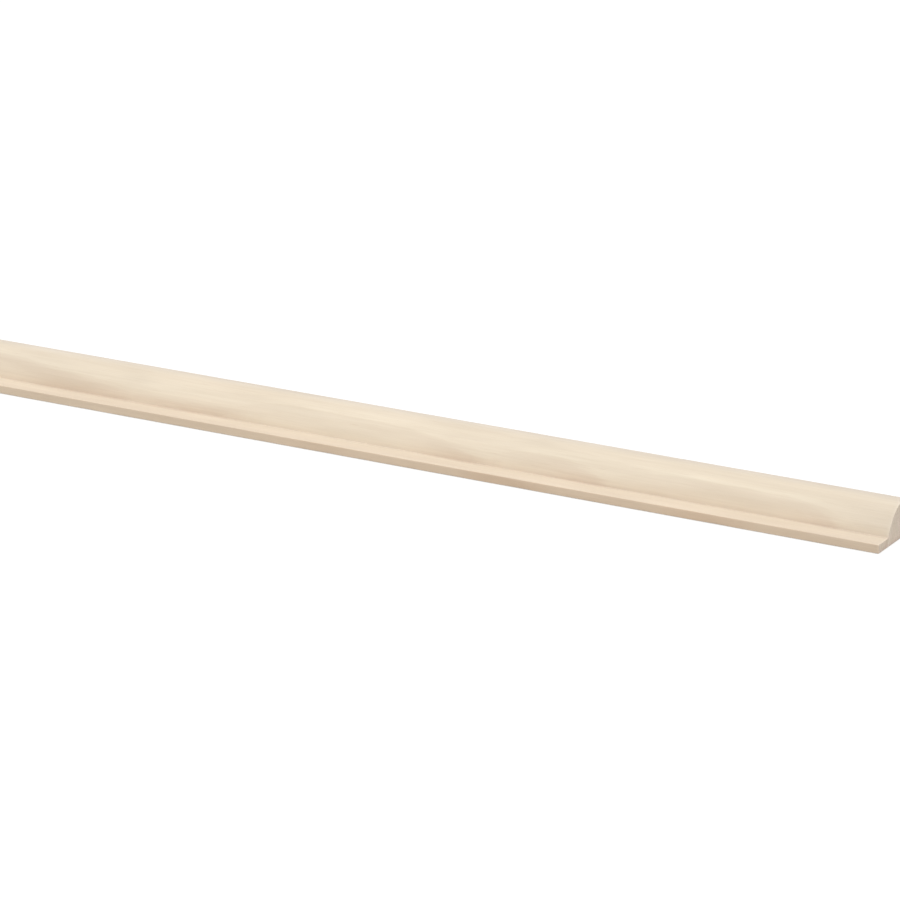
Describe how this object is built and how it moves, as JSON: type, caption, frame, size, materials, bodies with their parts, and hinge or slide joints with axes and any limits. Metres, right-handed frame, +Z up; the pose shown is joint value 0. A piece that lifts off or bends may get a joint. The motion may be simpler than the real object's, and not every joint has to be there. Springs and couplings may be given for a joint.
{
  "type": "lipped quarter round moulding",
  "caption": "Straight softwood trim moulding: a quarter round that rises to a flat back from a thin flat lip along its foot, with square-cut ends.",
  "frame": {"origin": "middle of the base, half way along the length", "axes": "+X along the length, -Y the side that the lip points to, +Y the flat back, +Z up from the base to the top of the round"},
  "size_m": [1, 0.028, 0.018],
  "materials": {
    "planed_softwood": "planed, bare, unfinished"
  },
  "bodies": {
    "root": {"moulding": "planed_softwood"}
  },
  "joints": []
}
